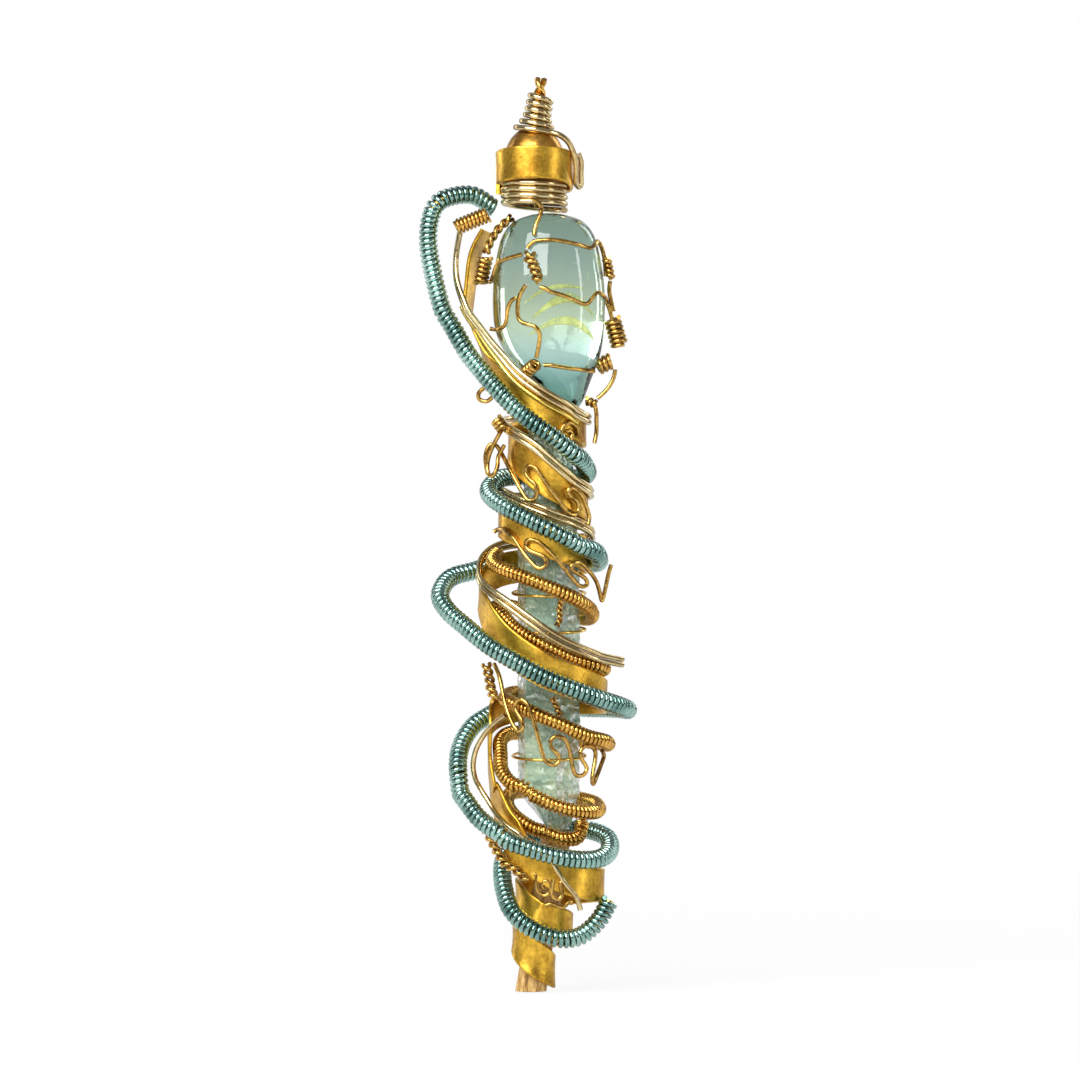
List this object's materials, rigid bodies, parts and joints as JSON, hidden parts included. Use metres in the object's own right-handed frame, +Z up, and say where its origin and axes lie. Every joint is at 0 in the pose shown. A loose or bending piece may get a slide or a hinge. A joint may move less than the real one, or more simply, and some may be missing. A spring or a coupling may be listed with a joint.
{
  "type": "wire-wrapped crystal wand",
  "caption": "Slim hand-held wand: a clear stone head in a wire net, a rough crystal column and a stick tail, bound by spiralling flat strip and coiled wire.",
  "frame": {"origin": "centre of the flat cut end of the tail stick", "axes": "+Z up the wand to the tip of the finial; -Y is the front, the side with the scrolls; +X is to the right seen from the front"},
  "size_m": [0.0329, 0.0236, 0.138],
  "materials": {
    "tumbled_glass": "polished, clear pale aqua with faint veils",
    "frosted_crystal": "rough, milky grey-green mineral with frosty inclusions",
    "gilded_bark": "fibrous bark with rubbed gilding",
    "bronze_bead": "satin brown-gold",
    "brushed_strip": "brushed and slightly grainy gold",
    "aqua_wire": "bright anodised aqua",
    "gold_wire": "bright drawn wire",
    "champagne_wire": "bright pale gold drawn wire"
  },
  "bodies": {
    "root": {"aqua_coil": "aqua_wire", "aqua_core_wire": "champagne_wire", "band_ring": "gold_wire", "binding_coil": "gold_wire", "bright_wire": "gold_wire", "champagne_wire_first": "champagne_wire", "champagne_wire_second": "champagne_wire", "column_rings": "gold_wire", "crystal_column": "frosted_crystal", "finial_post": "champagne_wire", "finial_wire": "champagne_wire", "flat_strip": "brushed_strip", "gold_coil": "gold_wire", "gold_core_wire": "gold_wire", "head_stone": "tumbled_glass", "lower_twist": "gold_wire", "lower_wire": "champagne_wire", "neck_coil": "champagne_wire", "neck_strip": "brushed_strip", "net_drop_wire": "gold_wire", "net_inner_left": "gold_wire", "net_knot_corner": "gold_wire", "net_knot_foot": "gold_wire", "net_knot_left": "gold_wire", "net_knot_lower": "gold_wire", "net_knot_right": "gold_wire", "net_knot_shoulder": "gold_wire", "net_loop_left": "gold_wire", "net_lower_wire": "gold_wire", "net_middle_wire": "gold_wire", "net_outer_left": "gold_wire", "net_right_loop": "gold_wire", "net_right_wire": "gold_wire", "net_shoulder_left": "gold_wire", "net_shoulder_right": "gold_wire", "net_top_wire": "gold_wire", "net_twist_left": "champagne_wire", "net_twist_upper": "gold_wire", "scroll_lower": "gold_wire", "scroll_upper": "gold_wire", "scroll_waist": "gold_wire", "tail_bar": "gold_wire", "tail_hook": "gold_wire", "tail_ring": "gold_wire", "tail_stick": "gilded_bark", "tail_twist": "gold_wire", "tie_lower": "gold_wire", "tie_upper": "gold_wire", "top_bead": "bronze_bead", "waist_knot": "gold_wire", "waist_loop": "gold_wire"}
  },
  "joints": []
}
